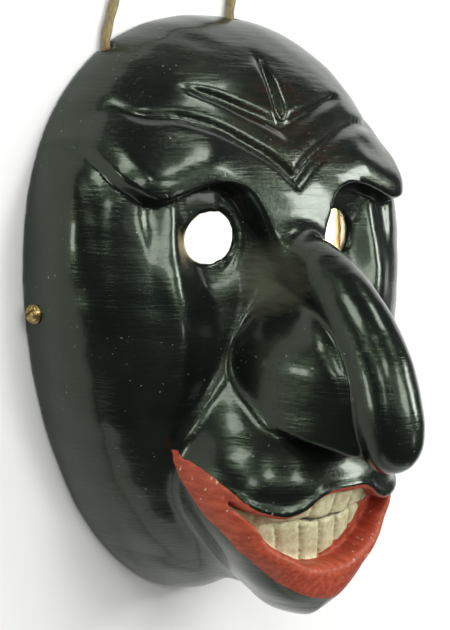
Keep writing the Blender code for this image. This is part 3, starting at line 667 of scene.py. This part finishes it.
class Value:
    """The output of a shader node, to be used in sums like any number."""

    def __init__(self, finish, socket):
        self.finish = finish
        self.socket = socket

    def maths(self, operation, *values):
        inputs = dict(enumerate(values))
        return self.finish.add("ShaderNodeMath", {"operation": operation}, inputs)

    def __add__(self, other):
        return self.maths("ADD", self, other)

    __radd__ = __add__

    def __mul__(self, other):
        return self.maths("MULTIPLY", self, other)

    __rmul__ = __mul__

    def __sub__(self, other):
        return self.maths("SUBTRACT", self, other)

    def __rsub__(self, other):
        return self.maths("SUBTRACT", other, self)

    def above(self, low, high):
        """From 0 where this is low to 1 where it is high."""
        settings = {"interpolation_type": "SMOOTHSTEP"}
        return self.finish.add("ShaderNodeMapRange", settings, {0: self, 1: low, 2: high})

    def most(self, other):
        return self.maths("MAXIMUM", self, other)


class Finish:
    """A material that is being mixed, around one Principled shader."""

    def __init__(self, name, **constants):
        self.material = bpy.data.materials.new(name)
        self.material.use_nodes = True
        self.tree = self.material.node_tree
        self.shader = self.tree.nodes["Principled BSDF"]
        for socket, value in constants.items():
            self.shader.inputs[socket.replace("_", " ")].default_value = value
        self.place = self.add("ShaderNodeTexCoord", output="Object")

    def add(self, kind, settings=None, inputs=None, output=0):
        """A node of that kind, with its settings made first and then its sockets filled."""
        node = self.tree.nodes.new(kind)
        for setting, value in (settings or {}).items():
            setattr(node, setting, value)
        for socket, value in (inputs or {}).items():
            if isinstance(value, Value):
                self.tree.links.new(value.socket, node.inputs[socket])
            else:
                node.inputs[socket].default_value = value
        return Value(self, node.outputs[output])

    def region(self, name):
        """What the mesh carries at each point under that name."""
        return self.add("ShaderNodeAttribute", {"attribute_name": name}, output="Fac")

    def stretched(self, scale):
        """The place on the piece, stretched by a scale for each axis."""
        return self.add("ShaderNodeMapping", {}, {"Vector": self.place, "Scale": scale})

    def noise(self, scale, detail=3.0, roughness=0.5, place=None, distortion=0.0):
        inputs = {"Vector": place or self.place, "Scale": scale, "Detail": detail}
        inputs.update({"Roughness": roughness, "Distortion": distortion})
        return self.add("ShaderNodeTexNoise", {}, inputs)

    def mix(self, share, first, second):
        """One colour where the share is 0 and another where it is 1."""
        colours = [c if isinstance(c, Value) else (*c, 1) for c in (first, second)]
        inputs = {0: share, 6: colours[0], 7: colours[1]}
        return self.add("ShaderNodeMix", {"data_type": "RGBA"}, inputs, output=2)

    def bump(self, height, distance):
        return self.add("ShaderNodeBump", {}, {"Height": height, "Distance": distance})

    def cover(self, **inputs):
        """Links what changes over the surface to the shader."""
        for socket, value in inputs.items():
            self.tree.links.new(value.socket, self.shader.inputs[socket.replace("_", " ")])
        return self.material


def lacquered_wood():
    """Black lacquer, red on the lips and ivory on the teeth, over wood left bare in the hollow."""
    finish = Finish(
        "lacquered_wood",
        IOR=1.42,
        Specular_Tint=(0.74, 1.0, 0.66, 1),
        Coat_Roughness=0.10,
        Coat_IOR=1.5,
    )
    brushed = finish.stretched((70.0, 800.0, 120.0))
    streaks = finish.noise(1.0, detail=4.0, roughness=0.62, place=brushed)
    patches = finish.noise(26.0, detail=4.0, roughness=0.55)
    grain_place = finish.stretched((260.0, 22.0, 260.0))
    grain = finish.noise(1.0, detail=3.0, roughness=0.6, place=grain_place, distortion=0.4)
    fine = finish.noise(420.0, detail=3.0)
    pits = finish.noise(1100.0, detail=1.0).above(0.66, 0.74)
    pits = pits * finish.noise(48.0, detail=2.0).above(0.50, 0.62)

    black = finish.mix(patches.above(0.45, 0.68), LACQUER, LACQUER_PATCH)
    brown = finish.noise(17.0, detail=3.0).above(0.56, 0.70) * streaks.above(0.35, 0.6)
    black = finish.mix(brown * 0.6, black, LACQUER_BROWNED)
    from_root = finish.region("from_root") + (streaks - 0.5) * 14 + (patches - 0.5) * 20
    worn = 1 - from_root.above(5, 19)
    black = finish.mix(worn * 0.7, black, LACQUER_WORN)
    flecks = finish.noise(700.0, detail=1.0).above(0.755, 0.79) * patches.above(0.42, 0.55)
    black = finish.mix(flecks * 0.6, black, PALE_FLECK)

    red_place = finish.stretched((500.0, 500.0, 90.0))
    red_streaks = finish.noise(1.0, detail=4.0, roughness=0.6, place=red_place)
    red = finish.mix(red_streaks.above(0.35, 0.7), RED, RED_FADED)
    chips = finish.noise(330.0, detail=3.0).above(0.66, 0.70) * patches.above(0.40, 0.60)
    red = finish.mix(chips * 0.7, red, RED_CHIPPED)

    ivory = finish.mix(fine.above(0.3, 0.7), IVORY_DULL, IVORY_PALE)
    stain = finish.noise(130.0, detail=3.0).above(0.55, 0.75)
    ivory = finish.mix(stain * 0.5, ivory, IVORY_STAINED)
    lined = 1 - (finish.region("tooth_line") + (fine - 0.5) * 1.4).above(0.2, 1.0)
    ivory = finish.mix(lined * 0.6, ivory, BETWEEN_TEETH)
    # A painted shadow in the crack between the two rows, where the upper teeth overhang the lower
    crack_shadow = (finish.region("crack") + (fine - 0.5) * 1.2).above(0.9, 1.5)
    ivory = finish.mix(crack_shadow, ivory, CRACK_SHADOW_PAINT)

    bare = finish.mix(grain.above(0.3, 0.7), WOOD, WOOD_PALE)
    bare = finish.mix(patches.above(0.5, 0.75) * 0.5, bare, WOOD_STAINED)

    ragged = (fine - 0.5) * 0.9 + (patches - 0.5) * 0.8
    on_lips = (finish.region("lips") + ragged).above(-0.1, 0.15)
    on_teeth = (finish.region("ivory") + ragged * 0.4).above(0.1, 0.4)
    on_back = (finish.region("bare") + ragged).above(1.2, 1.8)
    colour = finish.mix(on_lips, black, red)
    colour = finish.mix(on_teeth, colour, ivory)
    colour = finish.mix(on_back, colour, bare)

    painted = on_lips.most(on_teeth)
    gloss = 0.23 + (patches - 0.5) * 0.16 + (streaks - 0.5) * 0.16 + worn * 0.32
    roughness = gloss * (1 - painted) * (1 - on_back) + painted * 0.55 + on_back * 0.66
    coat = (0.30 - worn * 0.3).most(0.0) * (1 - on_back) * (1 - painted * 0.8)
    relief = streaks * 0.80 + fine * 0.22 - pits * 0.8 + grain * on_back * 1.5
    normal = finish.bump(relief, distance=0.00022)
    return finish.cover(Base_Color=colour, Roughness=roughness, Coat_Weight=coat, Normal=normal)


def tarnished_brass():
    """Dull yellow brass, darker and browner where it has tarnished."""
    finish = Finish("brass", Metallic=1.0)
    tarnish = finish.noise(900.0, detail=4.0).above(0.40, 0.66)
    scratches = finish.noise(1.0, detail=2.0, place=finish.stretched((500.0, 4200.0, 500.0)))
    colour = finish.mix(tarnish, BRASS, BRASS_TARNISHED)
    roughness = 0.26 + tarnish * 0.28 + (scratches - 0.5) * 0.12
    normal = finish.bump(scratches + tarnish * 0.5, distance=0.00004)
    return finish.cover(Base_Color=colour, Roughness=roughness, Normal=normal)


def tan_hide():
    """Rolled tan hide, paler in fine streaks along its fibres and darker in stained patches."""
    finish = Finish("cord_hide", Sheen_Weight=0.2)
    fibres = finish.noise(1.0, detail=4.0, place=finish.stretched((1500.0, 320.0, 1500.0)))
    patches = finish.noise(90.0, detail=3.0)
    colour = finish.mix(fibres.above(0.3, 0.7), HIDE, HIDE_PALE)
    colour = finish.mix(patches.above(0.5, 0.7) * 0.5, colour, HIDE_STAINED)
    normal = finish.bump(fibres + patches * 0.6, distance=0.00025)
    return finish.cover(Base_Color=colour, Roughness=0.62 + (fibres - 0.5) * 0.2, Normal=normal)


def pale_floor():
    finish = Finish("pale_floor", Specular_IOR_Level=0.2)
    cloud = finish.noise(3.0, detail=2.0)
    colour = finish.mix(cloud.above(0.3, 0.7), FLOOR, FLOOR_CLOUD)
    return finish.cover(Base_Color=colour, Roughness=0.7 + (cloud - 0.5) * 0.1)


def place_camera():
    """The camera, at the photograph's viewing angle."""
    side, up = CAMERA_TO_SIDE, CAMERA_UP_FACE
    back = Vector((-math.sin(side) * math.cos(up), math.sin(up), math.cos(side) * math.cos(up)))
    level = Vector((0, 1, 0)).cross(back).normalized()
    turned = Matrix.Rotation(CAMERA_ROLL, 3, back) @ level
    data = bpy.data.cameras.new("camera")
    data.sensor_fit = "VERTICAL"
    data.angle_y = VIEW_ANGLE
    camera = add_object("camera", data)
    camera.matrix_world = Matrix.Translation(LOOK_AT + CAMERA_AWAY * back) @ Matrix(
        (turned, back.cross(turned), back)
    ).transposed().to_4x4()
    bpy.context.scene.camera = camera


def smooth_route(points, every, fine_steps=24):
    """Evenly spaced points on the smooth curve through the route's points."""
    points = [Vector(point) for point in points]
    ends = [2 * points[0] - points[1], *points, 2 * points[-1] - points[-2]]
    fine = []
    for before, start, end, after in zip(ends, ends[1:], ends[2:], ends[3:]):
        lean = end - before
        bend = 2 * before - 5 * start + 4 * end - after
        twist = 3 * start - before - 3 * end + after
        shares = [count / fine_steps for count in range(fine_steps)]
        fine += [start + 0.5 * (lean * t + bend * t**2 + twist * t**3) for t in shares]
    fine.append(points[-1])
    steps = [(b - a).length for a, b in zip(fine, fine[1:])]
    lengths = np.concatenate([[0], np.cumsum(steps)])
    places = np.linspace(0, lengths[-1], round(lengths[-1] / every) + 1)
    return np.stack([np.interp(places, lengths, column) for column in zip(*fine)], axis=-1)


def rolled_hide_tree(material):
    """Geometry Nodes that roll a strip of hide along a curve: a lumpy round section that twists."""
    tree = bpy.data.node_groups.new("rolled_hide", "GeometryNodeTree")
    face = tree.interface
    face.new_socket("Line", in_out="INPUT", socket_type="NodeSocketGeometry")
    sizes = {"Width": CORD_WIDTH, "Turns per metre": HIDE_TURNS, "Unevenness": HIDE_LUMPS_HIGH}
    for name, value in sizes.items():
        socket = face.new_socket(name, in_out="INPUT", socket_type="NodeSocketFloat")
        socket.default_value = value
    face.new_socket("Cord", in_out="OUTPUT", socket_type="NodeSocketGeometry")

    def add(kind, inputs=None, output=0, **settings):
        node = tree.nodes.new(kind)
        for setting, value in settings.items():
            setattr(node, setting, value)
        for socket, value in (inputs or {}).items():
            if isinstance(value, bpy.types.NodeSocket):
                tree.links.new(value, node.inputs[socket])
            else:
                node.inputs[socket].default_value = value
        return node.outputs[output] if node.outputs else None

    def product(first, second):
        return add("ShaderNodeMath", {0: first, 1: second}, operation="MULTIPLY")

    given = tree.nodes.new("NodeGroupInput").outputs
    length = add("GeometryNodeSplineParameter", output="Length")
    turn = product(product(length, given["Turns per metre"]), 2 * math.pi)
    line = add("GeometryNodeSetCurveTilt", {"Curve": given["Line"], "Tilt": turn})
    radius = product(given["Width"], 0.5)
    ring = add("GeometryNodeCurvePrimitiveCircle", {"Resolution": HIDE_SIDES, "Radius": radius})
    flat = add("GeometryNodeTransform", {"Geometry": ring, "Scale": HIDE_SECTION})
    sweep = {"Curve": line, "Profile Curve": flat, "Fill Caps": True}
    tube = add("GeometryNodeCurveToMesh", sweep)
    lumps = add("ShaderNodeTexNoise", {"Scale": HIDE_LUMPS_CLOSE, "Detail": 2.0}, output="Color")
    centred = add("ShaderNodeVectorMath", {0: lumps, 1: (0.5,) * 3}, operation="SUBTRACT")
    shift = {0: centred, "Scale": given["Unevenness"]}
    shift = add("ShaderNodeVectorMath", shift, operation="SCALE")
    uneven = add("GeometryNodeSetPosition", {"Geometry": tube, "Offset": shift})
    smooth = add("GeometryNodeSetShadeSmooth", {"Geometry": uneven})
    real = add("GeometryNodeRealizeInstances", {"Geometry": smooth})
    made = add("GeometryNodeSetMaterial", {"Geometry": real, "Material": material})
    add("NodeGroupOutput", {"Cord": made})
    return tree


def rolled_hide(name, route, tree):
    """A plain mesh of hide that is rolled along a route."""
    curve = bpy.data.curves.new(name, "CURVE")
    curve.dimensions = "3D"
    line = curve.splines.new("POLY")
    line.points.add(len(route) - 1)
    for point, place in zip(line.points, route):
        point.co = (*place, 1)
    guide = add_object(name + "_line", curve)
    guide.modifiers.new("hide", "NODES").node_group = tree
    evaluated = guide.evaluated_get(bpy.context.evaluated_depsgraph_get())
    mesh = bpy.data.meshes.new_from_object(evaluated)
    mesh.name = name
    bpy.data.objects.remove(guide, do_unlink=True)
    return add_object(name, mesh)


def make_mask(material):
    """The carved wood, with the regions that its paint follows."""
    points, quads = carve()
    mesh = bpy.data.meshes.new("carved_mask")
    mesh.from_pydata((points * PART).tolist(), [], quads.tolist())
    for name, values in paint_regions(points).items():
        layer = mesh.attributes.new(name, "FLOAT", "POINT")
        layer.data.foreach_set("value", values.astype(np.float32))
    shape = bmesh.new()
    shape.from_mesh(mesh)
    if shape.calc_volume(signed=True) < 0:
        bmesh.ops.reverse_faces(shape, faces=shape.faces)
    shape.to_mesh(mesh)
    shape.free()
    mesh.shade_smooth()
    mesh.materials.append(material)
    return add_object("carved_mask", mesh)


def bearing(turn, rise):
    """A direction: degrees round from the crown towards the wearer's left, and degrees up."""
    turn, rise = math.radians(turn), math.radians(rise)
    level = math.cos(rise)
    return Vector((math.sin(turn) * level, math.cos(turn) * level, math.sin(rise)))


def soft_light(name, at, towards, size, brightness, colour=(1.0, 1.0, 1.0)):
    """A flat light. At brightness 1 its face shows as plain white, whatever its size."""
    data = bpy.data.lights.new(name, "AREA")
    data.shape = "RECTANGLE"
    data.size, data.size_y = size
    data.energy = 4 * brightness * size[0] * size[1]
    data.color = colour
    light = add_object(name, data)
    light.location = at
    light.rotation_euler = (Vector(towards) - Vector(at)).to_track_quat("-Z", "Y").to_euler()
    light.visible_camera = False
    return light


def studio_light(name, turn, rise, wide, high, brightness):
    """A flat light at its bearing, as large as its angles make it."""
    size = [2 * LIGHTS_AWAY * math.tan(math.radians(angle / 2)) for angle in (wide, high)]
    at = LIGHTS_AIM + LIGHTS_AWAY * bearing(turn, rise)
    return soft_light(name, at, LIGHTS_AIM, size, brightness)


def light_studio():
    """Windows, lamps and a fill round the mask in a dim room, and two small lamps in its hollow."""
    world = bpy.data.worlds.new("dim_room")
    world.use_nodes = True
    world.node_tree.nodes["Background"].inputs["Color"].default_value = DIM_ROOM
    bpy.context.scene.world = world
    for lamp in STUDIO_LIGHTS:
        studio_light(*lamp)
    studio_light(*FILL_LIGHT).visible_glossy = False
    for name, at, towards, size, brightness in HOLLOW_LIGHTS:
        soft_light(name, at, towards, (size, size), brightness, COOL_WHITE)
    bpy.context.scene.view_settings.view_transform = "Standard"


def lay_floor():
    mesh = bpy.data.meshes.new("floor")
    shape = bmesh.new()
    bmesh.ops.create_grid(shape, x_segments=1, y_segments=1, size=FLOOR_REACH)
    bmesh.ops.translate(shape, verts=shape.verts, vec=(0, 0, -FLOOR_BELOW))
    shape.to_mesh(mesh)
    shape.free()
    mesh.materials.append(pale_floor())
    floor = add_object("floor", mesh)


place_camera()
hide_tree = rolled_hide_tree(tan_hide())
route = smooth_route(CORD_ROUTE, CORD_STEP)
cord = rolled_hide("hanging_cord", route, hide_tree)

brass = tarnished_brass()
for node in ("screw_right", "screw_left"):
    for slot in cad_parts[node].material_slots:
        slot.material = brass

mask = make_mask(lacquered_wood())
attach(mask, "root")
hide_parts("mask")

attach(cord, "root")
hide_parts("cord")

lay_floor()
light_studio()
